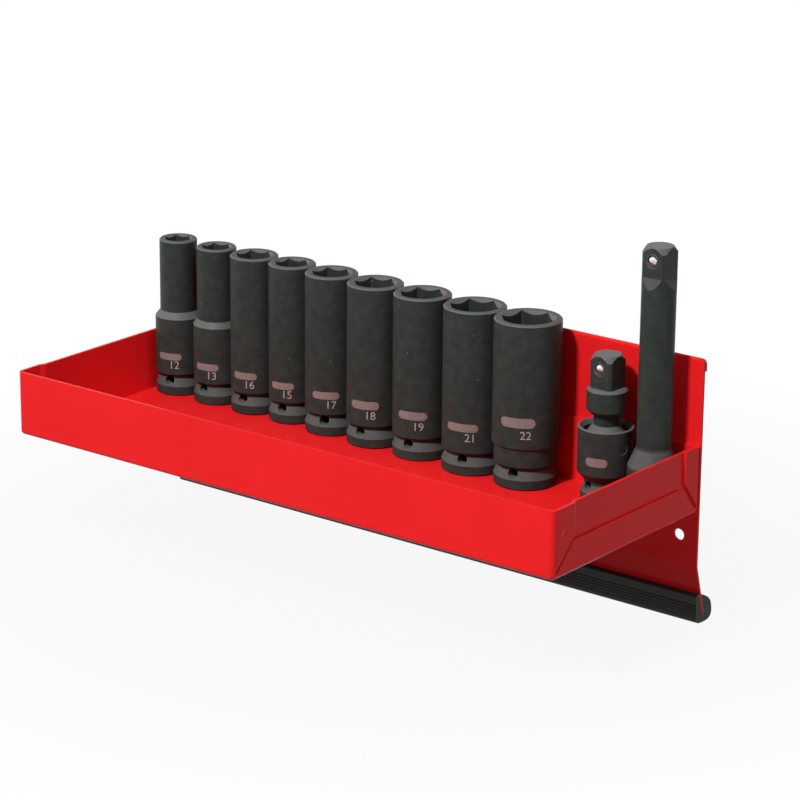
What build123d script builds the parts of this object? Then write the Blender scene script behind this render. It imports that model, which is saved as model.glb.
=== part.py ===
from build123d import *
from math import cos, radians, sin, sqrt, tan
import os

# Wall tray for nine deep hexagon sockets, a swivel joint and an extension bar.
# Millimetres. +X runs to the right along the tray, +Y points to the wall, +Z is up.
# The origin lies on the back plate's rear face, midway between its two screw holes.

os.makedirs("parts", exist_ok=True)

# Sheet metal and overall size
SHEET = 1.2
TRAY_LENGTH = 320.0
TRAY_DEPTH = 115.0
TRAY_HEIGHT = 32.0
TRAY_FOOT_Z = 13.0

# Pan bends, measured on the outside of the sheet
FRONT_BEND = 2.6
REAR_BEND = 2.0
FLOOR_BEND = 1.8

# End walls. A low flange with slanted ends stands outside the wall, between two corner tabs.
# Each point is the distance behind the pan's front face and the height above its underside.
FLANGE_TOP_FRONT = (15.6, 14.9)
FLANGE_TOP_REAR = (99.4, 14.9)
FLANGE_FOOT_FRONT = (3.2, 2.5)
FLANGE_FOOT_REAR = (112.3, 2.2)
FRONT_TAB_CORNER = (15.4, 16.4)
FRONT_TAB_TIP = (2.1, 3.1)
REAR_TAB_CORNER = (102.9, 16.8)
REAR_TAB_TIP = (113.4, 3.6)
SEAM_ROUND = 0.4
JOGGLE_RUN = 2.4
WELD_SPOT = (8.6, 19.8)
WELD_ROUND = 6.8
WELD_DEPTH = 0.3

# Back plate
PLATE_TOP_Z = 86.0
PLATE_BEND_Z = -14.2
PLATE_BEND_RADIUS = 2.6
PLATE_CORNER = 3.0
HEM_LENGTH = 6.0
HEM_RADIUS = 0.75
LIP_TILT = 16.0
LIP_LENGTH = 26.5
SCREW_SPACING = 300.0
SCREW_HOLE = 5.5

# Rubber edge trim: front face, then the rounded foot and back as (distance, height) points
TRIM_FRONT_TOP = (-0.3, -29.0)
TRIM_FRONT_FOOT = (0.2, -40.6)
TRIM_BACK = [
    (1.0, -41.9),
    (3.0, -42.7),
    (6.0, -43.0),
    (9.6, -42.9),
    (12.1, -42.1),
    (13.3, -40.4),
    (13.4, -37.4),
    (12.4, -34.2),
    (9.8, -31.5),
    (6.4, -29.6),
    (3.4, -28.4),
    (1.0, -28.2),
]
RIB_GROOVES = 5
RIB_PITCH = 1.45
RIB_FIRST = 4.2
RIB_GROOVE_RADIUS = 0.36

# Half-inch square drive
SQUARE = 12.7
SQUARE_BORE = 12.9
SQUARE_CORNER = 1.0
SQUARE_DEPTH = 15.5
SQUARE_ACROSS = 16.0
SQUARE_LENGTH = 14.0
TOP_FACE_RADIUS = 6.2
TOP_CONE = 2.6
RUNOUT = 5.2

# Drive end of every standing piece: base flange, retaining groove and cross hole
BASE_EDGE = 0.7
FLANGE_TOP = 4.8
GROOVE_FOOT = 8.9
GROOVE_TOP = 10.0
GROOVE_END = 11.3
GROOVE_DEPTH = 1.7
CROSS_HOLE = 5.0
CROSS_HOLE_Z = 7.8
RECESS_CONE = 1.2

# Deep sockets
SOCKET_HEIGHT = 80.0
WALL_GAP = 0.45
RIM_EDGE = 0.65
HEX_PLAY = 0.15
HEX_DEPTH = 22.0
HEX_TURN = 20.0
MOUTH_SPARE = 0.15
BORE_STEP = 0.3
BORE_FOOT = 20.0
WEB_RADIUS = 4.5

# Size across flats: gap to the left neighbour, upper diameter, base diameter, shoulder height,
# shoulder length, and the cross hole's turn from straight ahead towards the right
SOCKETS = {
    12: (0.35, 19.0, 24.0, 40.0, 3.2, 13.0),
    13: (1.5, 20.0, 24.0, 40.0, 3.0, -1.0),
    16: (0.8, 24.0, 24.0, 0.0, 0.0, 6.0),
    15: (0.5, 23.5, 23.5, 0.0, 0.0, 10.0),
    17: (1.2, 26.0, 26.0, 0.0, 0.0, 22.0),
    18: (1.0, 27.5, 27.5, 0.0, 0.0, 4.0),
    19: (1.0, 28.0, 28.0, 0.0, 0.0, 8.0),
    21: (2.8, 30.0, 30.0, 0.0, 0.0, 15.0),
    22: (0.35, 32.0, 30.0, 19.8, 0.8, 11.0),
}

# Swivel joint
SWIVEL_X = 277.9
HOUSING_TURN = -19.0
HEAD_TURN = -5.0
HOUSING_BASE = 11.2
HOUSING_SHOULDER = 14.4
CUP_RADIUS = 13.1
CUP_HEIGHT = 36.0
CUP_EDGE = 0.5
CUP_BORE = 10.5
CUP_FLOOR = 17.4
CUP_MOUTH = 12.1
CUP_MOUTH_DEPTH = 2.2
BALL_Z = 28.0
BALL_RADIUS = 10.2
NECK_RADIUS = 5.5
NECK_TOP_RADIUS = 5.9
NECK_TOP = 40.6
COLLAR_RADIUS = 9.5
COLLAR_FOOT = 42.8
COLLAR_TOP = 53.2
COLLAR_EDGE = 1.1
HEAD_TOP = 70.0
PIN_RADIUS = 2.8
PIN_LENGTH = 25.6
PIN_PLAY = 0.05
PIN_EDGE = 0.4
SWING = 21.0

# Extension bar
BAR_X = 303.3
BAR_TURN = 1.5
BAR_TOP = 125.0
BAR_BASE = 11.9
FLARE_FOOT = 21.5
FLARE_TOP = 30.5
FLARE_ROUND = 4.0

# Spring-loaded ball on each square
DETENT_DROP = 6.0
DETENT_BALL = 2.45
DETENT_PROUD = 1.0
DETENT_BORE = 2.52
DETENT_DEPTH = 7.6
STAKE_INNER = 2.95
STAKE_OUTER = 3.4
STAKE_DEPTH = 0.2
SPRING_OUTER = 2.05
SPRING_INNER = 1.45
SPRING_LENGTH = 3.1

# Places that follow from the sizes above
LEFT_X = -TRAY_LENGTH / 2
RIGHT_X = TRAY_LENGTH / 2
PAN_FRONT_Y = -SHEET - TRAY_DEPTH
WALL_Y = -2 * SHEET
FLOOR_Z = TRAY_FOOT_Z + SHEET
SHEET_MID = -SHEET / 2
SWIVEL_PLACE = (LEFT_X + SWIVEL_X, WALL_Y - WALL_GAP - CUP_RADIUS)
BAR_PLACE = (LEFT_X + BAR_X, WALL_Y - WALL_GAP - BAR_BASE)


def on_end(point):
    """Turns a distance behind the front face and a height into a point on the end wall."""
    return (PAN_FRONT_Y + point[0], TRAY_FOOT_Z + point[1])


def upright(place, turn):
    """Upright plane through a standing piece's axis, facing forwards and turned to the right."""
    angle = radians(turn)
    return Plane(
        origin=(place[0], place[1], FLOOR_Z),
        x_dir=(cos(angle), sin(angle), 0),
        z_dir=(sin(angle), -cos(angle), 0),
    )


def level(place, turn, height):
    """Level plane at a height above the tray floor, turned about a standing piece's axis."""
    angle = radians(turn)
    return Plane(
        origin=(place[0], place[1], FLOOR_Z + height),
        x_dir=(cos(angle), sin(angle), 0),
        z_dir=(0, 0, 1),
    )


def turned(place, outline, mode=Mode.ADD):
    """Turns a half profile about a standing piece's axis."""
    plane = upright(place, 0)
    with BuildSketch(plane) as half:
        Polygon(*outline, align=None)
    revolve(half.sketch, axis=Axis(plane.origin, (0, 0, 1)), mode=mode)


def base_outline(radius):
    """Half profile of a drive end, from the centre of its foot to the end of the groove."""
    return [
        (0, 0),
        (radius - BASE_EDGE, 0),
        (radius, BASE_EDGE),
        (radius, FLANGE_TOP),
        (radius - GROOVE_DEPTH, GROOVE_FOOT),
        (radius - GROOVE_DEPTH, GROOVE_TOP),
    ]


def cut_square_recess(place, turn):
    """Cuts the square drive recess with its round countersink into the foot."""
    with BuildSketch(level(place, turn, 0)) as recess:
        RectangleRounded(SQUARE_BORE, SQUARE_BORE, SQUARE_CORNER)
    extrude(recess.sketch, amount=SQUARE_DEPTH, mode=Mode.SUBTRACT)
    corner = SQUARE_BORE / sqrt(2)
    cone = [(0, 0), (corner, 0), (corner - RECESS_CONE, RECESS_CONE), (0, RECESS_CONE)]
    turned(place, cone, mode=Mode.SUBTRACT)


def cut_cross_hole(place, turn, radius, height, reach):
    """Drills a level hole right through the standing piece."""
    with BuildSketch(upright(place, turn)) as hole:
        with Locations((0, height)):
            Circle(radius)
    extrude(hole.sketch, amount=reach, both=True, mode=Mode.SUBTRACT)


def square_end(top):
    """Half profile of a square end before milling, from its conical edge to the axis."""
    return [(SQUARE_ACROSS / 2, top - TOP_CONE), (TOP_FACE_RADIUS, top), (0, top)]


def mill_flats(place, turn, foot, top, runout):
    """Mills the four flats of a square end, each running out into the round below it."""
    flat = SQUARE / 2
    slope = runout / (SQUARE_ACROSS / 2 - flat)
    side = [
        (flat, foot),
        (SQUARE_ACROSS, foot - slope * (SQUARE_ACROSS - flat)),
        (SQUARE_ACROSS, top + SQUARE),
        (flat, top + SQUARE),
    ]
    for quarter in range(4):
        with BuildSketch(upright(place, turn + 90 * quarter)) as waste:
            Polygon(*side, align=None)
        extrude(waste.sketch, amount=SQUARE_ACROSS, both=True, mode=Mode.SUBTRACT)


def cut_detent(place, turn, height):
    """Drills the ball's blind hole into one flat and presses the ring round it."""
    face = upright(place, turn).offset(SQUARE / 2)
    with BuildSketch(face) as hole:
        with Locations((0, height)):
            Circle(DETENT_BORE)
    extrude(hole.sketch, amount=-DETENT_DEPTH, mode=Mode.SUBTRACT)
    with BuildSketch(face) as ring:
        with Locations((0, height)):
            Circle(STAKE_OUTER)
            Circle(STAKE_INNER, mode=Mode.SUBTRACT)
    extrude(ring.sketch, amount=-STAKE_DEPTH, mode=Mode.SUBTRACT)


def detent_place(place, turn, height, depth):
    """Point on the detent's axis at a depth behind the flat."""
    angle = radians(turn)
    out = SQUARE / 2 - depth
    return (place[0] + out * sin(angle), place[1] - out * cos(angle), FLOOR_Z + height)


# Tray pan
seam = [
    on_end((FRONT_TAB_CORNER[0], TRAY_HEIGHT + SHEET)),
    on_end(FRONT_TAB_CORNER),
    on_end(FRONT_TAB_TIP),
    on_end(FLANGE_FOOT_FRONT),
    on_end(FLANGE_TOP_FRONT),
    on_end(FLANGE_TOP_REAR),
    on_end(FLANGE_FOOT_REAR),
    on_end(REAR_TAB_TIP),
    on_end(REAR_TAB_CORNER),
    on_end((REAR_TAB_CORNER[0], TRAY_HEIGHT + SHEET)),
]
joggle_front = PAN_FRONT_Y + FRONT_TAB_CORNER[0] - SHEET / 2
joggle_rear = joggle_front + JOGGLE_RUN

with BuildPart() as tray_pan:
    with Locations((0, PAN_FRONT_Y + TRAY_DEPTH / 2, TRAY_FOOT_Z + TRAY_HEIGHT / 2)):
        Box(TRAY_LENGTH, TRAY_DEPTH, TRAY_HEIGHT)
    fillet(tray_pan.edges().filter_by(Axis.Z).group_by(Axis.Y)[0], FRONT_BEND)
    fillet(tray_pan.edges().filter_by(Axis.Z).group_by(Axis.Y)[-1], REAR_BEND)
    fillet(tray_pan.faces().sort_by(Axis.Z)[0].edges(), FLOOR_BEND)
    offset(amount=-SHEET, openings=tray_pan.faces().sort_by(Axis.Z)[-1])
    for side in (-1, 1):
        with BuildSketch(Plane.YZ.offset(side * RIGHT_X)) as gap:
            Polygon(*seam, align=None)
            fillet(gap.vertices(), SEAM_ROUND)
        extrude(amount=SHEET, both=True, mode=Mode.SUBTRACT)
        with BuildSketch(Plane.XY.offset(TRAY_FOOT_Z + SHEET / 2)):
            with Locations((side * (RIGHT_X - 1.5 * SHEET), (joggle_rear + WALL_Y) / 2)):
                Rectangle(SHEET, WALL_Y - joggle_rear)
        extrude(amount=TRAY_HEIGHT - SHEET / 2)
        with BuildSketch(Plane.XY.offset(TRAY_FOOT_Z + FRONT_TAB_CORNER[1])):
            Polygon(
                (side * RIGHT_X, joggle_front),
                (side * (RIGHT_X - SHEET), joggle_rear + SHEET / 2),
                (side * (RIGHT_X - 2 * SHEET), joggle_rear),
                (side * (RIGHT_X - SHEET), joggle_front - SHEET / 2),
                align=None,
            )
        extrude(amount=TRAY_HEIGHT - FRONT_TAB_CORNER[1])
        with Locations((side * (RIGHT_X + WELD_ROUND - WELD_DEPTH), *on_end(WELD_SPOT))):
            Sphere(WELD_ROUND, mode=Mode.SUBTRACT)
tray_pan.part.label = "tray_pan"
export_step(tray_pan.part, "parts/tray_pan.step")

# Back plate: one sheet from the tilted lip over the bend up to the folded hem
lip_angle = radians(LIP_TILT)
lip_end = (SHEET_MID + LIP_LENGTH * sin(lip_angle), PLATE_BEND_Z - LIP_LENGTH * cos(lip_angle))
hem_z = PLATE_TOP_Z - SHEET / 2 - HEM_RADIUS

with BuildPart() as back_plate:
    with BuildSketch(Plane.YZ):
        with BuildLine():
            FilletPolyline(
                lip_end,
                (SHEET_MID, PLATE_BEND_Z),
                (SHEET_MID, hem_z),
                radius=PLATE_BEND_RADIUS,
            )
            ThreePointArc(
                (SHEET_MID, hem_z),
                (SHEET_MID + HEM_RADIUS, hem_z + HEM_RADIUS),
                (SHEET_MID + 2 * HEM_RADIUS, hem_z),
            )
            Line(
                (SHEET_MID + 2 * HEM_RADIUS, hem_z),
                (SHEET_MID + 2 * HEM_RADIUS, PLATE_TOP_Z - HEM_LENGTH),
            )
        trace(line_width=SHEET)
    extrude(amount=TRAY_LENGTH / 2, both=True)
    with BuildSketch(Plane.XZ) as outline:
        with Locations((0, lip_end[1] - SHEET)):
            Rectangle(
                TRAY_LENGTH,
                PLATE_TOP_Z - lip_end[1] + SHEET,
                align=(Align.CENTER, Align.MIN),
            )
        fillet(outline.vertices().group_by(Axis.Y)[-1], PLATE_CORNER)
    extrude(amount=TRAY_DEPTH, both=True, mode=Mode.INTERSECT)
    with BuildSketch(Plane.XZ):
        with GridLocations(SCREW_SPACING, 0, 2, 1):
            Circle(SCREW_HOLE / 2)
    extrude(amount=TRAY_DEPTH, both=True, mode=Mode.SUBTRACT)
back_plate.part.label = "back_plate"
export_step(back_plate.part, "parts/back_plate.step")

# Edge trim: a rubber block pushed over the lip
with BuildPart() as edge_trim:
    with BuildSketch(Plane.YZ):
        with BuildLine():
            Line(TRIM_FRONT_TOP, TRIM_FRONT_FOOT)
            Spline(TRIM_FRONT_FOOT, *TRIM_BACK, TRIM_FRONT_TOP)
        make_face()
        with BuildLine():
            Line(lip_end, (SHEET_MID, PLATE_BEND_Z))
        trace(line_width=SHEET, mode=Mode.SUBTRACT)
        for rib in range(RIB_GROOVES):
            with Locations((0, TRIM_FRONT_TOP[1] - RIB_FIRST - rib * RIB_PITCH)):
                Circle(RIB_GROOVE_RADIUS, mode=Mode.SUBTRACT)
    extrude(amount=TRAY_LENGTH / 2, both=True)
edge_trim.part.label = "edge_trim"
export_step(edge_trim.part, "parts/edge_trim.step")


def make_socket(size, x):
    """Deep socket: hexagon mouth above, square drive end below."""
    _, upper, lower, shoulder, shoulder_run, turn = SOCKETS[size]
    place = (x, WALL_Y - WALL_GAP - max(upper, lower) / 2)
    outline = base_outline(lower / 2) + [(lower / 2, GROOVE_END)]
    if shoulder:
        outline += [(lower / 2, shoulder), (upper / 2, shoulder + shoulder_run)]
    outline += [
        (upper / 2, SOCKET_HEIGHT - RIM_EDGE),
        (upper / 2 - RIM_EDGE, SOCKET_HEIGHT),
        (0, SOCKET_HEIGHT),
    ]
    across = size + HEX_PLAY
    corner = across / sqrt(3)
    mouth = corner + MOUTH_SPARE
    bore = [
        (0, BORE_FOOT),
        (across / 2 - BORE_STEP, BORE_FOOT),
        (across / 2 - BORE_STEP, SOCKET_HEIGHT - HEX_DEPTH),
        (0, SOCKET_HEIGHT - HEX_DEPTH),
    ]
    funnel = [
        (0, SOCKET_HEIGHT),
        (mouth, SOCKET_HEIGHT),
        (across / 2, SOCKET_HEIGHT - mouth + across / 2),
        (0, SOCKET_HEIGHT - mouth + across / 2),
    ]
    with BuildPart() as socket:
        turned(place, outline)
        with BuildSketch(level(place, HEX_TURN, SOCKET_HEIGHT - HEX_DEPTH)) as hexagon:
            RegularPolygon(corner, 6)
        extrude(hexagon.sketch, amount=HEX_DEPTH, mode=Mode.SUBTRACT)
        turned(place, bore, mode=Mode.SUBTRACT)
        turned(place, funnel, mode=Mode.SUBTRACT)
        with BuildSketch(level(place, 0, 0)) as web:
            Circle(WEB_RADIUS)
        extrude(web.sketch, amount=BORE_FOOT, mode=Mode.SUBTRACT)
        cut_square_recess(place, turn)
        cut_cross_hole(place, turn, CROSS_HOLE / 2, CROSS_HOLE_Z, lower)
    socket.part.label = f"socket_{size}"
    export_step(socket.part, f"parts/socket_{size}.step")


# Sockets stand side by side from the left end wall
next_left = LEFT_X + 2 * SHEET
for size, (gap, upper, lower, *_) in SOCKETS.items():
    widest = max(upper, lower)
    make_socket(size, next_left + gap + widest / 2)
    next_left += gap + widest

# Swivel joint housing: drive end below, ball cup above
housing_outline = base_outline(HOUSING_BASE) + [
    (CUP_RADIUS, HOUSING_SHOULDER),
    (CUP_RADIUS, CUP_HEIGHT - CUP_EDGE),
    (CUP_RADIUS - CUP_EDGE, CUP_HEIGHT),
    (0, CUP_HEIGHT),
]
cup_bore = [
    (0, CUP_FLOOR),
    (CUP_BORE, CUP_FLOOR),
    (CUP_BORE, CUP_HEIGHT - CUP_MOUTH_DEPTH),
    (CUP_MOUTH, CUP_HEIGHT),
    (0, CUP_HEIGHT),
]
swivel_centre = (SWIVEL_PLACE[0], SWIVEL_PLACE[1], FLOOR_Z + BALL_Z)

with BuildPart() as joint_housing:
    turned(SWIVEL_PLACE, housing_outline)
    turned(SWIVEL_PLACE, cup_bore, mode=Mode.SUBTRACT)
    cut_square_recess(SWIVEL_PLACE, HOUSING_TURN)
    cut_cross_hole(SWIVEL_PLACE, HOUSING_TURN, CROSS_HOLE / 2, CROSS_HOLE_Z, CUP_RADIUS)
    cut_cross_hole(
        SWIVEL_PLACE, HOUSING_TURN + 90, PIN_RADIUS + PIN_PLAY, BALL_Z, 2 * CUP_RADIUS
    )
joint_housing.part.label = "joint_housing"
export_step(joint_housing.part, "parts/joint_housing.step")

# Pin across the swivel joint
with BuildPart() as joint_pin:
    with BuildSketch(upright(SWIVEL_PLACE, HOUSING_TURN + 90)) as pin_end:
        with Locations((0, BALL_Z)):
            Circle(PIN_RADIUS)
    extrude(pin_end.sketch, amount=PIN_LENGTH / 2, both=True)
    chamfer(joint_pin.edges().filter_by(GeomType.CIRCLE), PIN_EDGE)
joint_pin.part.label = "joint_pin"
export_step(joint_pin.part, "parts/joint_pin.step")

# Swivel joint head: ball, neck, collar and square
pin_room = PIN_RADIUS + PIN_PLAY
swing = radians(SWING)
waist_half = pin_room / cos(swing)
slot_half = waist_half + 2 * BALL_RADIUS * tan(swing)
bow_tie = [
    (0, waist_half),
    (2 * BALL_RADIUS, slot_half),
    (2 * BALL_RADIUS, -slot_half),
    (0, -waist_half),
    (-2 * BALL_RADIUS, -slot_half),
    (-2 * BALL_RADIUS, slot_half),
]
head_outline = [
    (0, BALL_Z),
    (NECK_RADIUS, BALL_Z),
    (NECK_TOP_RADIUS, NECK_TOP),
    (COLLAR_RADIUS - COLLAR_EDGE, COLLAR_FOOT),
    (COLLAR_RADIUS, COLLAR_FOOT + COLLAR_EDGE),
    (COLLAR_RADIUS, COLLAR_TOP),
    (SQUARE_ACROSS / 2, COLLAR_TOP + COLLAR_EDGE),
] + square_end(HEAD_TOP)

with BuildPart() as joint_head:
    turned(SWIVEL_PLACE, head_outline)
    with Locations(swivel_centre):
        Sphere(BALL_RADIUS)
    mill_flats(SWIVEL_PLACE, HEAD_TURN, COLLAR_TOP + COLLAR_EDGE, HEAD_TOP, 0)
    with BuildSketch(upright(SWIVEL_PLACE, HOUSING_TURN)) as slot:
        with Locations((0, BALL_Z)):
            Polygon(*bow_tie, align=None)
    extrude(slot.sketch, amount=pin_room, both=True, mode=Mode.SUBTRACT)
    cut_detent(SWIVEL_PLACE, HEAD_TURN, HEAD_TOP - DETENT_DROP)
joint_head.part.label = "joint_head"
export_step(joint_head.part, "parts/joint_head.step")

# Extension bar: drive end, flare, round shaft and square
bar_outline = (
    base_outline(BAR_BASE)
    + [
        (BAR_BASE, GROOVE_END),
        (BAR_BASE, FLARE_FOOT),
        (SQUARE_ACROSS / 2, FLARE_TOP),
    ]
    + square_end(BAR_TOP)
)
with BuildPart() as extension_bar:
    turned(BAR_PLACE, bar_outline)
    flare = extension_bar.edges().filter_by_position(
        Axis.Z, FLOOR_Z + FLARE_FOOT, FLOOR_Z + FLARE_TOP
    )
    fillet(flare.filter_by(GeomType.CIRCLE), FLARE_ROUND)
    mill_flats(BAR_PLACE, BAR_TURN, BAR_TOP - SQUARE_LENGTH, BAR_TOP, RUNOUT)
    cut_square_recess(BAR_PLACE, BAR_TURN)
    cut_cross_hole(BAR_PLACE, BAR_TURN, CROSS_HOLE / 2, CROSS_HOLE_Z, 2 * BAR_BASE)
    cut_detent(BAR_PLACE, BAR_TURN, BAR_TOP - DETENT_DROP)
extension_bar.part.label = "extension_bar"
export_step(extension_bar.part, "parts/extension_bar.step")


def make_detent(piece, place, turn, top):
    """Steel ball and the coil spring behind it, drawn as a plain sleeve at its pressed length."""
    height = top - DETENT_DROP
    ball_name = f"{piece}_detent_ball"
    with BuildPart() as ball:
        with Locations(detent_place(place, turn, height, DETENT_BALL - DETENT_PROUD)):
            Sphere(DETENT_BALL)
    ball.part.label = ball_name
    export_step(ball.part, f"parts/{ball_name}.step")

    spring_name = f"{piece}_detent_spring"
    with BuildPart() as spring:
        with BuildSketch(upright(place, turn).offset(SQUARE / 2 - DETENT_DEPTH)) as coil:
            with Locations((0, height)):
                Circle(SPRING_OUTER)
                Circle(SPRING_INNER, mode=Mode.SUBTRACT)
        extrude(coil.sketch, amount=SPRING_LENGTH)
    spring.part.label = spring_name
    export_step(spring.part, f"parts/{spring_name}.step")


make_detent("joint", SWIVEL_PLACE, HEAD_TURN, HEAD_TOP)
make_detent("extension", BAR_PLACE, BAR_TURN, BAR_TOP)
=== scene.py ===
"""Finishes, size marks, springs and studio for a wall tray of deep sockets."""

import math

import bpy
from mathutils import Matrix, Vector


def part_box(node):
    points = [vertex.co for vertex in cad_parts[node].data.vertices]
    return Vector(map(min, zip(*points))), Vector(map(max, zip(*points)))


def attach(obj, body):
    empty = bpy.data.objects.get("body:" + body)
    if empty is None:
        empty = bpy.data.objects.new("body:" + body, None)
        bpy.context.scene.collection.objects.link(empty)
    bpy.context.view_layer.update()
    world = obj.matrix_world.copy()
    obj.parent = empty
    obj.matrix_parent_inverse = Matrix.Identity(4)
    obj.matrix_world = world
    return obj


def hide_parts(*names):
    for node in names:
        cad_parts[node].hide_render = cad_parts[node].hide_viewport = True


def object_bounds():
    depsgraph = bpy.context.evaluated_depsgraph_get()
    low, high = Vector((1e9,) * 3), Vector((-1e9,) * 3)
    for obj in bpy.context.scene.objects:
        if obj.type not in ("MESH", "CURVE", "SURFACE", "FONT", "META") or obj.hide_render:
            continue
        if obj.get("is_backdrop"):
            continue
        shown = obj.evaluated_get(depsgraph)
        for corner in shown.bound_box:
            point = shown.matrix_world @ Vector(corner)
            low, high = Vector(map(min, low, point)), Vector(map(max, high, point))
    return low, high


bl_info = {
    "name": "Socket Tray Finisher",
    "version": (1, 0, 0),
    "blender": (4, 5, 0),
    "location": "View3D > Sidebar > Socket Tray",
    "description": "Finishes a wall tray of deep sockets and lights it in a small studio",
    "category": "Object",
}

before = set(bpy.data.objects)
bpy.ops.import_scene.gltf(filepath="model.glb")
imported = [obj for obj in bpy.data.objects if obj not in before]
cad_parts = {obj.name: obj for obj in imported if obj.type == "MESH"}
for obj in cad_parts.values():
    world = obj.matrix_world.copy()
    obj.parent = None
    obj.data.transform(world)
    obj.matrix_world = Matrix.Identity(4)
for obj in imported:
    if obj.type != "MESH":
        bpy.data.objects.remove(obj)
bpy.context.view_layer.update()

MM = 0.001
EDGE_ROUND = 0.3 * MM
RIM_TINT_DEPTH = 0.1 * MM
FLOOR_GAP = 0.1 * MM
FLOOR_HALF = 4.0
MERGE_WITHIN = 1e-6
SENSOR_WIDTH = 36.0

# Painted highlight on the sheet edges of the powder coat
EDGE_HIGHLIGHT = "#FF5048"
MOUTH_FACE = "#453A3A"
UPTURNED_SLOPE = "#747474"
# Grey of real scuffs on the steel, also used as a painted highlight along its sharp edges
SCUFF_AND_EDGE_HIGHLIGHT = "#7C7876"
BALL_STEEL = "#C4C4C8"
WIRE_STEEL = "#A8A8AA"

# For each lamp: its power's setting, the turn from straight ahead to the right and the
# lift in degrees, and the distance and the side length in metres
LAMPS = {
    "key_lamp": ("key", 4.0, 48.0, 1.5, 0.16),
    "fill_lamp": ("fill", -62.0, 24.0, 1.4, 1.1),
    "side_lamp": ("side", 76.0, 12.0, 1.4, 0.7),
}

SHEET_METAL = ("tray_pan", "back_plate")
DRIVE_PARTS = ("joint_housing", "joint_pin", "joint_head", "extension_bar")
DETENTS = {"joint": ("joint_head", -5.0), "extension": ("extension_bar", 1.5)}

# For each size: the turn of its number from straight ahead to the right, in degrees,
# the heights of its number and its pad above the foot, the pad's own height, and the
# radius of the wall that carries them, in millimetres
MARK_PLACES = {
    12: (30.2, 16.5, 20.6, 3.5, 12.0),
    13: (27.8, 15.7, 19.9, 3.5, 12.0),
    16: (28.9, 15.9, 20.2, 3.5, 12.0),
    15: (27.8, 15.5, 19.7, 3.5, 11.75),
    17: (40.6, 16.4, 20.9, 3.7, 13.0),
    18: (31.0, 16.9, 21.8, 4.1, 13.75),
    19: (33.2, 17.4, 22.6, 4.0, 14.0),
    21: (29.2, 19.1, 23.8, 3.9, 15.0),
    22: (35.0, 27.5, 33.3, 4.8, 16.0),
}
# The plain pad on the swivel joint's cup: turn, height above the foot, own height and radius
JOINT_PAD = (14.8, 21.4, 4.1, 13.1)


def srgb(code):
    """Turns an sRGB hex colour into linear red, green and blue."""
    parts = [int(code[i : i + 2], 16) / 255 for i in (1, 3, 5)]
    return tuple(
        part / 12.92 if part <= 0.04045 else ((part + 0.055) / 1.055) ** 2.4 for part in parts
    )


def add(tree, kind, inputs=None, **settings):
    """Adds a node, sets its properties, and sets or links its inputs."""
    node = tree.nodes.new(kind)
    for name, value in settings.items():
        setattr(node, name, value)
    for key, value in (inputs or {}).items():
        for source in value if isinstance(value, list) else [value]:
            if isinstance(source, bpy.types.NodeSocket):
                tree.links.new(source, node.inputs[key])
            else:
                node.inputs[key].default_value = source
    return node


def new_material(name):
    """Makes an empty node material."""
    material = bpy.data.materials.new(name)
    material.use_nodes = True
    material.node_tree.nodes.clear()
    return material


def new_geometry_tree(name, sockets):
    """Makes a Geometry Nodes tree and returns it with its inputs by name."""
    tree = bpy.data.node_groups.new(name, "GeometryNodeTree")
    tree.interface.new_socket("Geometry", in_out="OUTPUT", socket_type="NodeSocketGeometry")
    for label, kind in sockets.items():
        tree.interface.new_socket(label, in_out="INPUT", socket_type=kind)
    return tree, tree.nodes.new("NodeGroupInput").outputs


def grow(name, tree, values):
    """Runs a Geometry Nodes tree with its named inputs and keeps the result as a plain mesh."""
    piece = bpy.data.objects.new(name, bpy.data.meshes.new(name))
    bpy.context.scene.collection.objects.link(piece)
    modifier = piece.modifiers.new(name, "NODES")
    modifier.node_group = tree
    for item in tree.interface.items_tree:
        if item.in_out == "INPUT":
            modifier[item.identifier] = values[item.name]
    graph = bpy.context.evaluated_depsgraph_get()
    mesh = bpy.data.meshes.new_from_object(piece.evaluated_get(graph))
    if not mesh.polygons:
        raise RuntimeError(f"{name} came out empty")
    piece.modifiers.remove(modifier)
    piece.data = mesh
    mesh.name = name
    return piece


def dress(material, *nodes):
    """Gives CAD nodes one material."""
    for node in nodes:
        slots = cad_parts[node].data.materials
        slots.clear()
        slots.append(material)


def middle(node):
    """Centre of a CAD node's box."""
    low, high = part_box(node)
    return (low + high) / 2


# Materials


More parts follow.
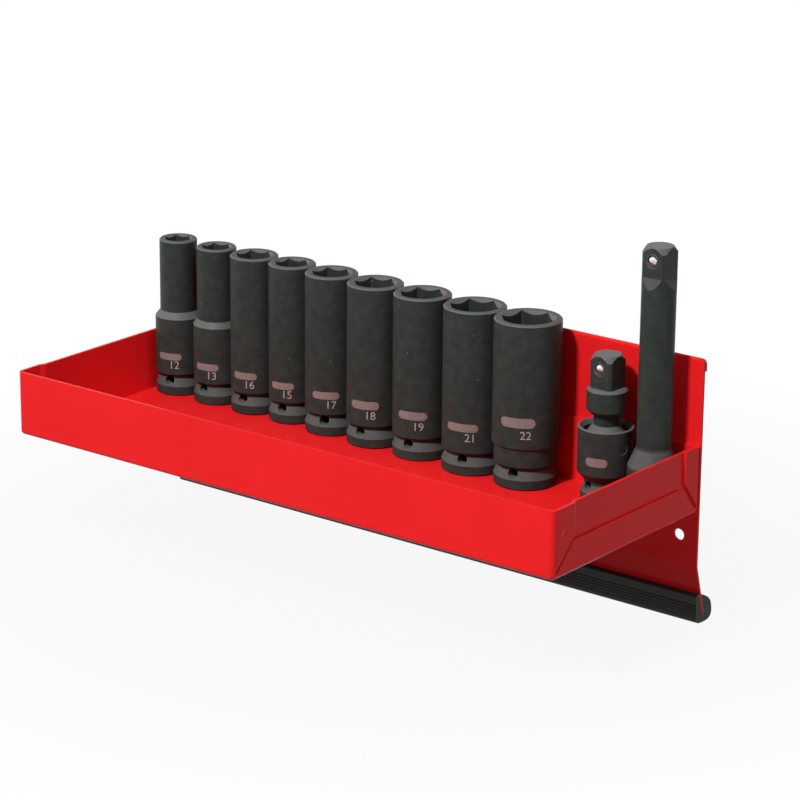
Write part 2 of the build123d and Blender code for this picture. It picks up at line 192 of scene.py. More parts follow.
def powder_coat(color):
    """Gloss polyester powder coat, sprayed on steel sheet and baked.

    The eye sees a deep even colour, a faint orange peel in the reflections, and a
    painted highlight, a lighter line along each rounded sheet edge.
    """
    material = new_material("gloss_powder_coat")
    tree = material.node_tree
    place = add(tree, "ShaderNodeTexCoord").outputs["Object"]
    cloud = add(tree, "ShaderNodeTexNoise", {"Vector": place, "Scale": 28.0, "Detail": 3.0})
    tone = add(tree, "ShaderNodeMix", {
        0: cloud.outputs["Fac"],
        6: (color[0] * 0.94, color[1] * 0.9, color[2] * 0.9, 1.0),
        7: (color[0] * 1.05, color[1] * 1.12, color[2] * 1.12, 1.0),
    }, data_type="RGBA")
    rounded = add(tree, "ShaderNodeBevel", {"Radius": EDGE_ROUND}, samples=6)
    flat = add(tree, "ShaderNodeNewGeometry")
    turn = add(tree, "ShaderNodeVectorMath", {
        0: rounded.outputs["Normal"],
        1: flat.outputs["Normal"],
    }, operation="DOT_PRODUCT")
    # Painted highlight: the red turns lighter along every sheet edge, where the rounded normal
    # leans off the flat one
    edge = add(tree, "ShaderNodeMapRange", {
        "Value": turn.outputs["Value"],
        "From Min": 0.97,
        "From Max": 0.8,
        "To Max": 0.55,
    })
    lit = add(tree, "ShaderNodeMix", {
        0: edge.outputs["Result"],
        6: tone.outputs[2],
        7: (*srgb(EDGE_HIGHLIGHT), 1.0),
    }, data_type="RGBA")
    # Peel cells of about 1.6 mm, drawn twice as coarse as real so that they show
    peel = add(tree, "ShaderNodeTexNoise", {"Vector": place, "Scale": 620.0, "Detail": 2.0})
    bump = add(tree, "ShaderNodeBump", {
        "Strength": 0.35,
        "Distance": 0.02 * MM,
        "Height": peel.outputs["Fac"],
    })
    smears = add(tree, "ShaderNodeTexNoise", {"Vector": place, "Scale": 75.0, "Detail": 4.0})
    gloss = add(tree, "ShaderNodeMapRange", {
        "Value": smears.outputs["Fac"],
        "To Min": 0.16,
        "To Max": 0.28,
    })
    shader = add(tree, "ShaderNodeBsdfPrincipled", {
        "Base Color": lit.outputs[2],
        "Roughness": gloss.outputs["Result"],
        "IOR": 1.5,
        "Specular IOR Level": 0.06,
        "Normal": bump.outputs["Normal"],
    })
    add(tree, "ShaderNodeOutputMaterial", {"Surface": shader.outputs["BSDF"]})
    return material


def phosphated_steel(name, color, rim_height=None):
    """Chrome-molybdenum steel, turned, then manganese phosphated and oiled.

    The eye sees a satin near-black with a soft cloudy grain, faint turning rings,
    a few light scuffs of bare metal, and a painted highlight, a paler grey along
    every sharp edge. Slopes that turn up are paler, which stands in for the sheen
    that a lamp leaves on them. The mouth face of a socket, above rim_height, has a
    brownish tint.
    """
    material = new_material(name)
    tree = material.node_tree
    place = add(tree, "ShaderNodeTexCoord").outputs["Object"]
    cloud = add(tree, "ShaderNodeTexNoise", {"Vector": place, "Scale": 210.0, "Detail": 5.0})
    tone = add(tree, "ShaderNodeMix", {
        0: cloud.outputs["Fac"],
        6: (*(part * 0.55 for part in color), 1.0),
        7: (*(part * 1.45 for part in color), 1.0),
    }, data_type="RGBA")
    flat = add(tree, "ShaderNodeNewGeometry")
    facing = add(tree, "ShaderNodeSeparateXYZ", {"Vector": flat.outputs["Normal"]})
    upturned = add(tree, "ShaderNodeMapRange", {
        "Value": facing.outputs["Z"],
        "From Min": 0.1,
        "From Max": 0.6,
        "To Max": 0.55,
    })
    surface = add(tree, "ShaderNodeMix", {
        0: upturned.outputs["Result"],
        6: tone.outputs[2],
        7: (*srgb(UPTURNED_SLOPE), 1.0),
    }, data_type="RGBA").outputs[2]
    if rim_height is not None:
        split = add(tree, "ShaderNodeSeparateXYZ", {"Vector": place})
        mouth = add(tree, "ShaderNodeMath", {
            0: split.outputs["Z"],
            1: rim_height,
        }, operation="GREATER_THAN")
        surface = add(tree, "ShaderNodeMix", {
            0: mouth.outputs["Value"],
            6: surface,
            7: (*srgb(MOUTH_FACE), 1.0),
        }, data_type="RGBA").outputs[2]
    # Scuffs up to 1 mm across, at most one in each 9 mm cell
    scuffs = add(tree, "ShaderNodeTexVoronoi", {"Vector": place, "Scale": 110.0})
    speck = add(tree, "ShaderNodeMapRange", {
        "Value": scuffs.outputs["Distance"],
        "From Min": 0.055,
        "From Max": 0.03,
        "To Max": 0.55,
    })
    rounded = add(tree, "ShaderNodeBevel", {"Radius": EDGE_ROUND}, samples=6)
    turn = add(tree, "ShaderNodeVectorMath", {
        0: rounded.outputs["Normal"],
        1: flat.outputs["Normal"],
    }, operation="DOT_PRODUCT")
    # Painted highlight: a paler grey along every sharp edge, where the rounded normal leans off
    # the flat one; it is joined below with the scuffs, which are real wear
    steel_edge_highlight = add(tree, "ShaderNodeMapRange", {
        "Value": turn.outputs["Value"],
        "From Min": 0.985,
        "From Max": 0.86,
        "To Max": 0.8,
    })
    scuff_and_highlight_mask = add(tree, "ShaderNodeMath", {
        0: steel_edge_highlight.outputs["Result"],
        1: speck.outputs["Result"],
    }, operation="MAXIMUM")
    scuffed_and_highlit = add(tree, "ShaderNodeMix", {
        0: scuff_and_highlight_mask.outputs["Value"],
        6: surface,
        7: (*srgb(SCUFF_AND_EDGE_HIGHLIGHT), 1.0),
    }, data_type="RGBA")
    # Turning rings 5 mm apart, far coarser than real so that they show
    rings = add(tree, "ShaderNodeTexWave", {
        "Vector": place,
        "Scale": 62.0,
        "Distortion": 1.5,
        "Detail": 2.0,
    }, bands_direction="Z")
    grain = add(tree, "ShaderNodeTexNoise", {"Vector": place, "Scale": 1700.0, "Detail": 3.0})
    relief = add(tree, "ShaderNodeMath", {
        0: rings.outputs["Fac"],
        1: 0.25,
        2: grain.outputs["Fac"],
    }, operation="MULTIPLY_ADD")
    bump = add(tree, "ShaderNodeBump", {
        "Strength": 0.5,
        "Distance": 0.012 * MM,
        "Height": relief.outputs["Value"],
        "Normal": rounded.outputs["Normal"],
    })
    oil = add(tree, "ShaderNodeMapRange", {
        "Value": cloud.outputs["Fac"],
        "To Min": 0.36,
        "To Max": 0.52,
    })
    shader = add(tree, "ShaderNodeBsdfPrincipled", {
        "Base Color": scuffed_and_highlit.outputs[2],
        "Roughness": oil.outputs["Result"],
        "IOR": 1.5,
        "Specular IOR Level": 0.08,
        "Normal": bump.outputs["Normal"],
    })
    add(tree, "ShaderNodeOutputMaterial", {"Surface": shader.outputs["BSDF"]})
    return material


def extruded_rubber(color):
    """EPDM rubber, extruded and cut to length.

    The eye sees a dull black with a fine draw grain along its length and a dusting
    of grey on the ribs.
    """
    material = new_material("extruded_epdm")
    tree = material.node_tree
    place = add(tree, "ShaderNodeTexCoord").outputs["Object"]
    drawn = add(tree, "ShaderNodeMapping", {"Vector": place, "Scale": (0.08, 1.0, 1.0)})
    grain = add(tree, "ShaderNodeTexNoise", {
        "Vector": drawn.outputs["Vector"],
        "Scale": 900.0,
        "Detail": 3.0,
    })
    dust = add(tree, "ShaderNodeTexNoise", {"Vector": place, "Scale": 60.0, "Detail": 5.0})
    tone = add(tree, "ShaderNodeMix", {
        0: dust.outputs["Fac"],
        6: (*(part * 0.7 for part in color), 1.0),
        7: (*(part * 1.5 for part in color), 1.0),
    }, data_type="RGBA")
    bump = add(tree, "ShaderNodeBump", {
        "Strength": 0.5,
        "Distance": 0.03 * MM,
        "Height": grain.outputs["Fac"],
    })
    shader = add(tree, "ShaderNodeBsdfPrincipled", {
        "Base Color": tone.outputs[2],
        "Roughness": 0.6,
        "Specular IOR Level": 0.25,
        "Normal": bump.outputs["Normal"],
    })
    add(tree, "ShaderNodeOutputMaterial", {"Surface": shader.outputs["BSDF"]})
    return material


def bright_metal(name, color, roughness):
    """Bearing steel or spring wire, ground or drawn, then polished.

    The eye sees a bright metal whose highlight is softened by hair-fine marks.
    """
    material = new_material(name)
    tree = material.node_tree
    place = add(tree, "ShaderNodeTexCoord").outputs["Object"]
    marks = add(tree, "ShaderNodeTexNoise", {"Vector": place, "Scale": 2600.0, "Detail": 4.0})
    gloss = add(tree, "ShaderNodeMapRange", {
        "Value": marks.outputs["Fac"],
        "To Min": roughness * 0.6,
        "To Max": roughness * 1.4,
    })
    bump = add(tree, "ShaderNodeBump", {
        "Strength": 0.15,
        "Distance": 0.003 * MM,
        "Height": marks.outputs["Fac"],
    })
    shader = add(tree, "ShaderNodeBsdfPrincipled", {
        "Base Color": (*color, 1.0),
        "Metallic": 1.0,
        "Roughness": gloss.outputs["Result"],
        "Normal": bump.outputs["Normal"],
    })
    add(tree, "ShaderNodeOutputMaterial", {"Surface": shader.outputs["BSDF"]})
    return material


def laser_etch(name, color, depth):
    """Phosphate coat burnt off by a marking laser.

    The eye sees a pale dull grey, mottled by the laser's passes.
    """
    material = new_material(name)
    tree = material.node_tree
    place = add(tree, "ShaderNodeTexCoord").outputs["Object"]
    mottle = add(tree, "ShaderNodeTexNoise", {"Vector": place, "Scale": 900.0, "Detail": 3.0})
    tone = add(tree, "ShaderNodeMix", {
        0: mottle.outputs["Fac"],
        6: (*(part * (1 - depth) for part in color), 1.0),
        7: (*(part * (1 + depth) for part in color), 1.0),
    }, data_type="RGBA")
    shader = add(tree, "ShaderNodeBsdfPrincipled", {
        "Base Color": tone.outputs[2],
        "Metallic": 0.2,
        "Roughness": 0.55,
    })
    add(tree, "ShaderNodeOutputMaterial", {"Surface": shader.outputs["BSDF"]})
    return material


# Geometry Nodes trees


def size_mark_tree():
    """A number and a capsule pad above its left, wrapped round a standing cylinder."""
    tree, given = new_geometry_tree("size_mark", {
        "Number": "NodeSocketString",
        "Text Size": "NodeSocketFloat",
        "Radius": "NodeSocketFloat",
        "Number Turn": "NodeSocketFloat",
        "Pad Turn": "NodeSocketFloat",
        "Number Rise": "NodeSocketFloat",
        "Pad Rise": "NodeSocketFloat",
        "Pad Length": "NodeSocketFloat",
        "Pad Height": "NodeSocketFloat",
        "Relief": "NodeSocketFloat",
        "Seat": "NodeSocketFloat",
        "Axis Foot": "NodeSocketVector",
        "Number Finish": "NodeSocketMaterial",
        "Pad Finish": "NodeSocketMaterial",
    })
    # Number: filled curves, centred, cut fine enough to bend
    text = add(tree, "GeometryNodeStringToCurves", {
        "String": given["Number"],
        "Size": given["Text Size"],
    })
    curves = add(tree, "GeometryNodeRealizeInstances", {
        "Geometry": text.outputs["Curve Instances"],
    })
    glyphs = add(tree, "GeometryNodeFillCurve", {"Curve": curves.outputs["Geometry"]})
    fine = add(tree, "GeometryNodeSubdivideMesh", {"Mesh": glyphs.outputs["Mesh"], "Level": 2})
    extent = add(tree, "GeometryNodeBoundBox", {"Geometry": fine.outputs["Mesh"]})
    centre = add(tree, "ShaderNodeMix", {
        0: 0.5,
        4: extent.outputs["Min"],
        5: extent.outputs["Max"],
    }, data_type="VECTOR")
    back = add(tree, "ShaderNodeVectorMath", {
        0: centre.outputs[1],
        "Scale": -1.0,
    }, operation="SCALE")
    number = add(tree, "GeometryNodeSetPosition", {
        "Geometry": fine.outputs["Mesh"],
        "Offset": back.outputs["Vector"],
    })
    # Pad: a grid drawn in to half circles at its two ends
    grid = add(tree, "GeometryNodeMeshGrid", {
        "Size X": 1.0,
        "Size Y": 1.0,
        "Vertices X": 49,
        "Vertices Y": 5,
    })
    spot = add(tree, "ShaderNodeSeparateXYZ", {
        "Vector": add(tree, "GeometryNodeInputPosition").outputs["Position"],
    })
    angle = add(tree, "ShaderNodeMath", {0: spot.outputs["X"], 1: math.pi}, operation="MULTIPLY")
    swing = add(tree, "ShaderNodeMath", {0: angle.outputs["Value"]}, operation="SINE")
    half_length = add(tree, "ShaderNodeMath", {
        0: given["Pad Length"],
        1: 0.5,
    }, operation="MULTIPLY")
    half_height = add(tree, "ShaderNodeMath", {
        0: given["Pad Height"],
        1: 0.5,
    }, operation="MULTIPLY")
    along = add(tree, "ShaderNodeMath", {
        0: swing.outputs["Value"],
        1: half_length.outputs["Value"],
    }, operation="MULTIPLY")
    straight = add(tree, "ShaderNodeMath", {
        0: half_length.outputs["Value"],
        1: half_height.outputs["Value"],
    }, operation="SUBTRACT")
    distance = add(tree, "ShaderNodeMath", {0: along.outputs["Value"]}, operation="ABSOLUTE")
    past = add(tree, "ShaderNodeMath", {
        0: distance.outputs["Value"],
        1: straight.outputs["Value"],
    }, operation="SUBTRACT")
    into_end = add(tree, "ShaderNodeMath", {0: past.outputs["Value"], 1: 0.0}, operation="MAXIMUM")
    into_square = add(tree, "ShaderNodeMath", {
        0: into_end.outputs["Value"],
        1: 2.0,
    }, operation="POWER")
    height_square = add(tree, "ShaderNodeMath", {
        0: half_height.outputs["Value"],
        1: 2.0,
    }, operation="POWER")
    room = add(tree, "ShaderNodeMath", {
        0: height_square.outputs["Value"],
        1: into_square.outputs["Value"],
    }, operation="SUBTRACT")
    kept = add(tree, "ShaderNodeMath", {0: room.outputs["Value"], 1: 0.0}, operation="MAXIMUM")
    reach = add(tree, "ShaderNodeMath", {0: kept.outputs["Value"]}, operation="SQRT")
    double = add(tree, "ShaderNodeMath", {0: spot.outputs["Y"], 1: 2.0}, operation="MULTIPLY")
    up = add(tree, "ShaderNodeMath", {
        0: double.outputs["Value"],
        1: reach.outputs["Value"],
    }, operation="MULTIPLY")
    capsule = add(tree, "GeometryNodeSetPosition", {
        "Geometry": grid.outputs["Mesh"],
        "Position": add(tree, "ShaderNodeCombineXYZ", {
            "X": along.outputs["Value"],
            "Y": up.outputs["Value"],
        }).outputs["Vector"],
    })
    pad = add(tree, "GeometryNodeMergeByDistance", {
        "Geometry": capsule.outputs["Geometry"],
        "Distance": MERGE_WITHIN,
    })
    # Both are bent round the axis, thickened outwards and closed behind
    shells = []
    for flat, turn, rise, finish in (
        (number.outputs["Geometry"], "Number Turn", "Number Rise", "Number Finish"),
        (pad.outputs["Geometry"], "Pad Turn", "Pad Rise", "Pad Finish"),
    ):
        at = add(tree, "ShaderNodeSeparateXYZ", {
            "Vector": add(tree, "GeometryNodeInputPosition").outputs["Position"],
        })
        arc = add(tree, "ShaderNodeMath", {
            0: at.outputs["X"],
            1: given["Radius"],
        }, operation="DIVIDE")
        round_to = add(tree, "ShaderNodeMath", {0: arc.outputs["Value"], 1: given[turn]})
        side = add(tree, "ShaderNodeMath", {0: round_to.outputs["Value"]}, operation="SINE")
        ahead = add(tree, "ShaderNodeMath", {0: round_to.outputs["Value"]}, operation="COSINE")
        seat = add(tree, "ShaderNodeMath", {
            0: given["Radius"],
            1: given["Seat"],
        }, operation="SUBTRACT")
        behind = add(tree, "ShaderNodeMath", {
            0: seat.outputs["Value"],
            1: -1.0,
        }, operation="MULTIPLY")
        bent = add(tree, "ShaderNodeCombineXYZ", {
            "X": add(tree, "ShaderNodeMath", {
                0: side.outputs["Value"],
                1: seat.outputs["Value"],
            }, operation="MULTIPLY").outputs["Value"],
            "Y": add(tree, "ShaderNodeMath", {
                0: ahead.outputs["Value"],
                1: behind.outputs["Value"],
            }, operation="MULTIPLY").outputs["Value"],
            "Z": add(tree, "ShaderNodeMath", {
                0: at.outputs["Y"],
                1: given[rise],
            }).outputs["Value"],
        })
        placed = add(tree, "GeometryNodeSetPosition", {
            "Geometry": flat,
            "Position": add(tree, "ShaderNodeVectorMath", {
                0: bent.outputs["Vector"],
                1: given["Axis Foot"],
            }).outputs["Vector"],
        })
        thickness = add(tree, "ShaderNodeMath", {0: given["Relief"], 1: given["Seat"]})
        face = add(tree, "GeometryNodeExtrudeMesh", {
            "Mesh": placed.outputs["Geometry"],
            "Offset Scale": thickness.outputs["Value"],
            "Individual": False,
        })
        rear = add(tree, "GeometryNodeFlipFaces", {"Mesh": placed.outputs["Geometry"]})
        both = add(tree, "GeometryNodeJoinGeometry", {
            "Geometry": [face.outputs["Mesh"], rear.outputs["Mesh"]],
        })
        closed = add(tree, "GeometryNodeMergeByDistance", {
            "Geometry": both.outputs["Geometry"],
            "Distance": MERGE_WITHIN,
        })
        finished = add(tree, "GeometryNodeSetMaterial", {
            "Geometry": closed.outputs["Geometry"],
            "Material": given[finish],
        })
        shells.append(finished.outputs["Geometry"])
    mark = add(tree, "GeometryNodeJoinGeometry", {"Geometry": shells})
    real = add(tree, "GeometryNodeRealizeInstances", {"Geometry": mark.outputs["Geometry"]})
    add(tree, "NodeGroupOutput", {"Geometry": real.outputs["Geometry"]})
    return tree


def coil_tree():
    """A coil spring round an axis that points out of a standing piece's flat."""
    tree, given = new_geometry_tree("coil_spring", {
        "Wire": "NodeSocketFloat",
        "Coil Radius": "NodeSocketFloat",
        "Length": "NodeSocketFloat",
        "Turns": "NodeSocketFloat",
        "Centre": "NodeSocketVector",
        "Facing": "NodeSocketVector",
        "Finish": "NodeSocketMaterial",
    })
    rise = add(tree, "ShaderNodeMath", {
        0: given["Length"],
        1: given["Wire"],
    }, operation="SUBTRACT")
    helix = add(tree, "GeometryNodeCurveSpiral", {
        "Resolution": 32,
        "Rotations": given["Turns"],
        "Start Radius": given["Coil Radius"],
        "End Radius": given["Coil Radius"],
        "Height": rise.outputs["Value"],
    })
    gauge = add(tree, "ShaderNodeMath", {0: given["Wire"], 1: 0.5}, operation="MULTIPLY")
    ring = add(tree, "GeometryNodeCurvePrimitiveCircle", {
        "Resolution": 12,
        "Radius": gauge.outputs["Value"],
    })
    wire = add(tree, "GeometryNodeCurveToMesh", {
        "Curve": helix.outputs["Curve"],
        "Profile Curve": ring.outputs["Curve"],
        "Fill Caps": True,
    })
    half = add(tree, "ShaderNodeMath", {0: rise.outputs["Value"], 1: -0.5}, operation="MULTIPLY")
    centred = add(tree, "GeometryNodeTransform", {
        "Geometry": wire.outputs["Mesh"],
        "Translation": add(tree, "ShaderNodeCombineXYZ", {
            "Z": half.outputs["Value"],
        }).outputs["Vector"],
    })
    placed = add(tree, "GeometryNodeTransform", {
        "Geometry": centred.outputs["Geometry"],
        "Translation": given["Centre"],
        "Rotation": given["Facing"],
    })
    real = add(tree, "GeometryNodeRealizeInstances", {"Geometry": placed.outputs["Geometry"]})
    done = add(tree, "GeometryNodeSetMaterial", {
        "Geometry": real.outputs["Geometry"],
        "Material": given["Finish"],
    })
    add(tree, "NodeGroupOutput", {"Geometry": done.outputs["Geometry"]})
    return tree


# Settings


class FinishSettings(bpy.types.PropertyGroup):
    """Colours of the coatings."""

    paint: bpy.props.FloatVectorProperty(
        name="Powder coat", description="Colour of the tray and the back plate",
        subtype="COLOR", size=3, min=0, max=1, default=srgb("#E21F22"),
    )
    steel: bpy.props.FloatVectorProperty(
        name="Phosphated steel", description="Colour of the sockets, the joint and the bar",
        subtype="COLOR", size=3, min=0, max=1, default=srgb("#2F3532"),
    )
    rubber: bpy.props.FloatVectorProperty(
        name="Rubber", description="Colour of the edge trim",
        subtype="COLOR", size=3, min=0, max=1, default=srgb("#1D1E1B"),
    )
    number: bpy.props.FloatVectorProperty(
        name="Etched number", description="Colour of the size numbers",
        subtype="COLOR", size=3, min=0, max=1, default=srgb("#9E9B99"),
    )
    pad: bpy.props.FloatVectorProperty(
        name="Etched pad", description="Colour of the blank capsules above the numbers",
        subtype="COLOR", size=3, min=0, max=1, default=srgb("#7C7370"),
    )


class MarkSettings(bpy.types.PropertyGroup):
    """Sizes of the etched marks."""

    text_size: bpy.props.FloatProperty(
        name="Text size", description="Font size of a number; its digits are 0.73 of it",
        unit="LENGTH", default=5.6 * MM,
    )
    pad_angle: bpy.props.FloatProperty(
        name="Pad angle", description="How far a pad goes round its socket",
        subtype="ANGLE", default=math.radians(62),
    )
    joint_pad_angle: bpy.props.FloatProperty(
        name="Joint pad angle", description="How far the pad goes round the swivel joint",
        subtype="ANGLE", default=math.radians(47),
    )
    pad_shift: bpy.props.FloatProperty(
        name="Pad shift", description="From a number's middle round to its pad's middle",
        subtype="ANGLE", default=math.radians(-15),
    )
    relief: bpy.props.FloatProperty(
        name="Relief", description="How far a mark stands proud", unit="LENGTH", default=0.03 * MM,
    )
    seat: bpy.props.FloatProperty(
        name="Seat", description="How deep a mark's back lies in the steel",
        unit="LENGTH", default=0.06 * MM,
    )


class SpringSettings(bpy.types.PropertyGroup):
    """Sizes of the detent springs."""

    wire: bpy.props.FloatProperty(
        name="Wire", description="Wire diameter", unit="LENGTH", default=0.55 * MM,
    )
    coil_radius: bpy.props.FloatProperty(
        name="Coil radius", description="From the axis to the middle of the wire",
        unit="LENGTH", default=1.75 * MM,
    )
    length: bpy.props.FloatProperty(
        name="Length", description="Pressed length", unit="LENGTH", default=3.1 * MM,
    )
    turns: bpy.props.FloatProperty(name="Turns", description="Number of turns", default=3.5)


class StageSettings(bpy.types.PropertyGroup):
    """Studio, lamps and camera."""

    floor: bpy.props.FloatVectorProperty(
        name="Floor", description="Colour of the floor",
        subtype="COLOR", size=3, min=0, max=1, default=srgb("#8C8C8C"),
    )
    lens: bpy.props.FloatProperty(
        name="Lens", description="Focal length in millimetres on a 36 mm sensor", default=140.925,
    )
    azimuth: bpy.props.FloatProperty(
        name="Azimuth", description="Turn of the camera to the right",
        subtype="ANGLE", default=math.radians(37.8996),
    )
    pitch: bpy.props.FloatProperty(
        name="Pitch", description="How far the camera looks down",
        subtype="ANGLE", default=math.radians(17.658),
    )
    roll: bpy.props.FloatProperty(
        name="Roll", description="Turn of the picture",
        subtype="ANGLE", default=math.radians(0.5108),
    )
    place: bpy.props.FloatVectorProperty(
        name="Place", description="Where the camera stands",
        subtype="TRANSLATION", size=3, default=(0.881168, -1.150447, 0.495405),
    )
    key: bpy.props.FloatProperty(
        name="Key", description="Power of the main lamp", unit="POWER", default=23.5,
    )
    fill: bpy.props.FloatProperty(
        name="Fill", description="Power of the soft lamp on the left", unit="POWER", default=6.0,
    )
    side: bpy.props.FloatProperty(
        name="Side", description="Power of the weak lamp on the right", unit="POWER", default=2.4,
    )
    world: bpy.props.FloatProperty(
        name="Surroundings", description="Strength of the even light all round", default=0.23,
    )


# Operators


class PaintSheetMetal(bpy.types.Operator):
    """Powder coats the tray pan and the back plate"""

    bl_idname = "sockettray.paint_sheet_metal"
    bl_label = "Powder coat"

    def execute(self, context):
        dress(powder_coat(context.scene.tray_finish.paint), *SHEET_METAL)
        return {"FINISHED"}


class CoatSteel(bpy.types.Operator):
    """Phosphates the sockets, the swivel joint and the extension bar"""

    bl_idname = "sockettray.coat_steel"
    bl_label = "Phosphated steel"

    def execute(self, context):
        color = context.scene.tray_finish.steel
        sockets = [f"socket_{size}" for size in MARK_PLACES]
        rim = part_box(sockets[0])[1].z - RIM_TINT_DEPTH
        dress(phosphated_steel("phosphated_socket_steel", color, rim), *sockets)
        dress(phosphated_steel("phosphated_drive_steel", color), *DRIVE_PARTS)
        return {"FINISHED"}


class FinishTrim(bpy.types.Operator):
    """Gives the edge trim its rubber"""

    bl_idname = "sockettray.finish_trim"
    bl_label = "Rubber trim"

    def execute(self, context):
        dress(extruded_rubber(context.scene.tray_finish.rubber), "edge_trim")
        return {"FINISHED"}


class PolishBalls(bpy.types.Operator):
    """Polishes the detent balls"""

    bl_idname = "sockettray.polish_balls"
    bl_label = "Detent balls"

    def execute(self, context):
        steel = bright_metal("polished_bearing_steel", srgb(BALL_STEEL), 0.28)
        dress(steel, *(f"{piece}_detent_ball" for piece in DETENTS))
        return {"FINISHED"}


class WindSprings(bpy.types.Operator):
    """Winds the coil springs behind the detent balls"""

    bl_idname = "sockettray.wind_springs"
    bl_label = "Detent springs"

    def execute(self, context):
        sizes = context.scene.tray_springs
        tree = coil_tree()
        steel = bright_metal("drawn_spring_wire", srgb(WIRE_STEEL), 0.28)
        for piece, (body, turn) in DETENTS.items():
            sleeve = f"{piece}_detent_spring"
            coil = grow(f"{piece}_detent_coil", tree, {
                "Wire": sizes.wire,
                "Coil Radius": sizes.coil_radius,
                "Length": sizes.length,
                "Turns": sizes.turns,
                "Centre": middle(sleeve),
                "Facing": (math.pi / 2, 0.0, math.radians(turn)),
                "Finish": steel,
            })
            coil.data.shade_smooth()
            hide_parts(sleeve)
            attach(coil, body)
        return {"FINISHED"}


class EtchMarks(bpy.types.Operator):
    """Etches a size number and a blank pad on each socket, and a pad on the swivel joint"""

    bl_idname = "sockettray.etch_marks"
    bl_label = "Size marks"

    def execute(self, context):
        marks = context.scene.tray_marks
        finish = context.scene.tray_finish
        tree = size_mark_tree()
        number_finish = laser_etch("etched_number", finish.number, 0.15)
        pad_finish = laser_etch("etched_pad", finish.pad, 0.3)
        # The joint has no number, so the shift is taken off and its pad sits at its own turn
        turn, rise, tall, radius = JOINT_PAD
        turn, angle = math.radians(turn) - marks.pad_shift, marks.joint_pad_angle
        places = {"joint_housing": ("", turn, rise, rise, tall, radius, angle)}
        for size, (turn, rise, pad_rise, tall, radius) in MARK_PLACES.items():
            row = (str(size), math.radians(turn), rise, pad_rise, tall, radius, marks.pad_angle)
            places[f"socket_{size}"] = row
        for node, (number, turn, rise, pad_rise, tall, radius, angle) in places.items():
            foot = middle(node)
            foot.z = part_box(node)[0].z
            mark = grow(f"{node}_mark", tree, {
                "Number": number,
                "Text Size": marks.text_size,
                "Radius": radius * MM,
                "Number Turn": turn,
                "Pad Turn": turn + marks.pad_shift,
                "Number Rise": rise * MM,
                "Pad Rise": pad_rise * MM,
                "Pad Length": angle * radius * MM,
                "Pad Height": tall * MM,
                "Relief": marks.relief,
                "Seat": marks.seat,
                "Axis Foot": foot,
                "Number Finish": number_finish,
                "Pad Finish": pad_finish,
            })
            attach(mark, node)
        return {"FINISHED"}


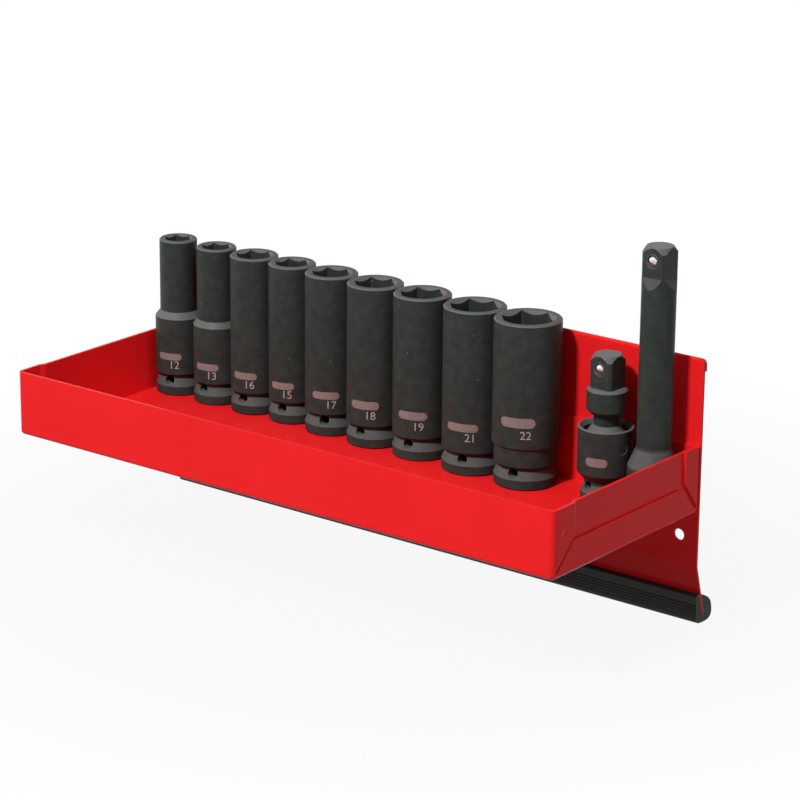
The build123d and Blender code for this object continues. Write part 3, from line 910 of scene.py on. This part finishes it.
class BuildStage(bpy.types.Operator):
    """Sets the floor, the lamps, the surroundings and the camera"""

    bl_idname = "sockettray.build_stage"
    bl_label = "Studio"

    def execute(self, context):
        settings = context.scene.tray_stage
        self.lay_floor(context, settings)
        self.hang_lamps(context, settings)
        self.light_surroundings(context, settings)
        self.place_camera(context, settings)
        context.scene.view_settings.view_transform = "Standard"
        return {"FINISHED"}

    def lay_floor(self, context, settings):
        half = FLOOR_HALF
        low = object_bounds()[0].z - FLOOR_GAP
        mesh = bpy.data.meshes.new("studio_floor")
        corners = [(-half, -half, low), (half, -half, low), (half, half, low), (-half, half, low)]
        mesh.from_pydata(corners, [], [(0, 1, 2, 3)])
        floor = bpy.data.objects.new("studio_floor", mesh)
        context.scene.collection.objects.link(floor)
        material = new_material("pale_floor_paper")
        tree = material.node_tree
        path = add(tree, "ShaderNodeLightPath")
        seen = add(tree, "ShaderNodeMath", {
            0: path.outputs["Is Camera Ray"],
            1: path.outputs["Is Glossy Ray"],
        }, operation="MAXIMUM")
        # The paper keeps the shadow near the tray and goes over into plain white further out
        away = add(tree, "ShaderNodeVectorMath", {
            0: add(tree, "ShaderNodeTexCoord").outputs["Object"],
        }, operation="LENGTH")
        out = add(tree, "ShaderNodeMapRange", {
            "Value": away.outputs["Value"],
            "From Min": 0.16,
            "From Max": 0.38,
            "To Min": 0.92,
        }, interpolation_type="SMOOTHSTEP")
        white = add(tree, "ShaderNodeMath", {
            0: seen.outputs["Value"],
            1: out.outputs["Result"],
        }, operation="MULTIPLY")
        paper = add(tree, "ShaderNodeBsdfDiffuse", {"Color": (*settings.floor, 1.0)})
        light = add(tree, "ShaderNodeEmission")
        blend = add(tree, "ShaderNodeMixShader", {
            0: white.outputs["Value"],
            1: paper.outputs["BSDF"],
            2: light.outputs["Emission"],
        })
        add(tree, "ShaderNodeOutputMaterial", {"Surface": blend.outputs["Shader"]})
        mesh.materials.append(material)
        floor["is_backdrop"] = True

    def hang_lamps(self, context, settings):
        low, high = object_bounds()
        aim = (low + high) / 2
        for name, (power, turn, lift, away, size) in LAMPS.items():
            lamp = bpy.data.lights.new(name, "AREA")
            lamp.shape = "SQUARE"
            lamp.size = size
            lamp.energy = getattr(settings, power)
            out = Vector((
                math.sin(math.radians(turn)) * math.cos(math.radians(lift)),
                -math.cos(math.radians(turn)) * math.cos(math.radians(lift)),
                math.sin(math.radians(lift)),
            ))
            holder = bpy.data.objects.new(name, lamp)
            holder.location = aim + out * away
            holder.rotation_euler = (-out).to_track_quat("-Z", "Y").to_euler()
            context.scene.collection.objects.link(holder)

    def light_surroundings(self, context, settings):
        world = bpy.data.worlds.new("studio")
        world.use_nodes = True
        tree = world.node_tree
        tree.nodes.clear()
        path = add(tree, "ShaderNodeLightPath")
        seen = add(tree, "ShaderNodeMath", {
            0: path.outputs["Is Camera Ray"],
            1: path.outputs["Is Transmission Ray"],
        }, operation="MAXIMUM")
        mirrored = add(tree, "ShaderNodeMath", {
            0: seen.outputs["Value"],
            1: path.outputs["Is Glossy Ray"],
        }, operation="MAXIMUM")
        strength = add(tree, "ShaderNodeMapRange", {
            "Value": mirrored.outputs["Value"],
            "To Min": settings.world,
            "To Max": 1.0,
        })
        sky = add(tree, "ShaderNodeBackground", {"Strength": strength.outputs["Result"]})
        sky.inputs["Color"].default_value = (1.0, 1.0, 1.0, 1.0)
        add(tree, "ShaderNodeOutputWorld", {"Surface": sky.outputs["Background"]})
        context.scene.world = world

    def place_camera(self, context, settings):
        look = Vector((
            -math.sin(settings.azimuth) * math.cos(settings.pitch),
            math.cos(settings.azimuth) * math.cos(settings.pitch),
            -math.sin(settings.pitch),
        ))
        level = Vector((math.cos(settings.azimuth), math.sin(settings.azimuth), 0.0))
        up = level.cross(look)
        right = math.cos(settings.roll) * level + math.sin(settings.roll) * up
        top = math.cos(settings.roll) * up - math.sin(settings.roll) * level
        data = bpy.data.cameras.new("photo_camera")
        data.lens = settings.lens
        data.sensor_width = SENSOR_WIDTH
        data.clip_start = 0.05
        data.clip_end = 50.0
        camera = bpy.data.objects.new("photo_camera", data)
        turn = Matrix((right, top, -look)).transposed().to_4x4()
        camera.matrix_world = Matrix.Translation(settings.place) @ turn
        context.scene.collection.objects.link(camera)
        context.scene.camera = camera


OPERATORS = (
    PaintSheetMetal,
    CoatSteel,
    FinishTrim,
    PolishBalls,
    WindSprings,
    EtchMarks,
    BuildStage,
)
GROUPS = {
    "tray_finish": FinishSettings,
    "tray_marks": MarkSettings,
    "tray_springs": SpringSettings,
    "tray_stage": StageSettings,
}


class TrayPanel(bpy.types.Panel):
    """Lists the tray's settings and steps"""

    bl_idname = "VIEW3D_PT_socket_tray"
    bl_label = "Socket Tray"
    bl_space_type = "VIEW_3D"
    bl_region_type = "UI"
    bl_category = "Socket Tray"

    def draw(self, context):
        for name, group in GROUPS.items():
            column = self.layout.box().column()
            for entry in group.__annotations__:
                column.prop(getattr(context.scene, name), entry)
        for operator in OPERATORS:
            self.layout.operator(operator.bl_idname)


CLASSES = (*GROUPS.values(), *OPERATORS, TrayPanel)


def register():
    for entry in CLASSES:
        bpy.utils.register_class(entry)
    for name, group in GROUPS.items():
        setattr(bpy.types.Scene, name, bpy.props.PointerProperty(type=group))


def unregister():
    for name in GROUPS:
        delattr(bpy.types.Scene, name)
    for entry in reversed(CLASSES):
        bpy.utils.unregister_class(entry)


def main():
    """Runs every step in order."""
    register()
    for operator in OPERATORS:
        group, step = operator.bl_idname.split(".")
        getattr(getattr(bpy.ops, group), step)()


if __name__ == "__main__":
    main()
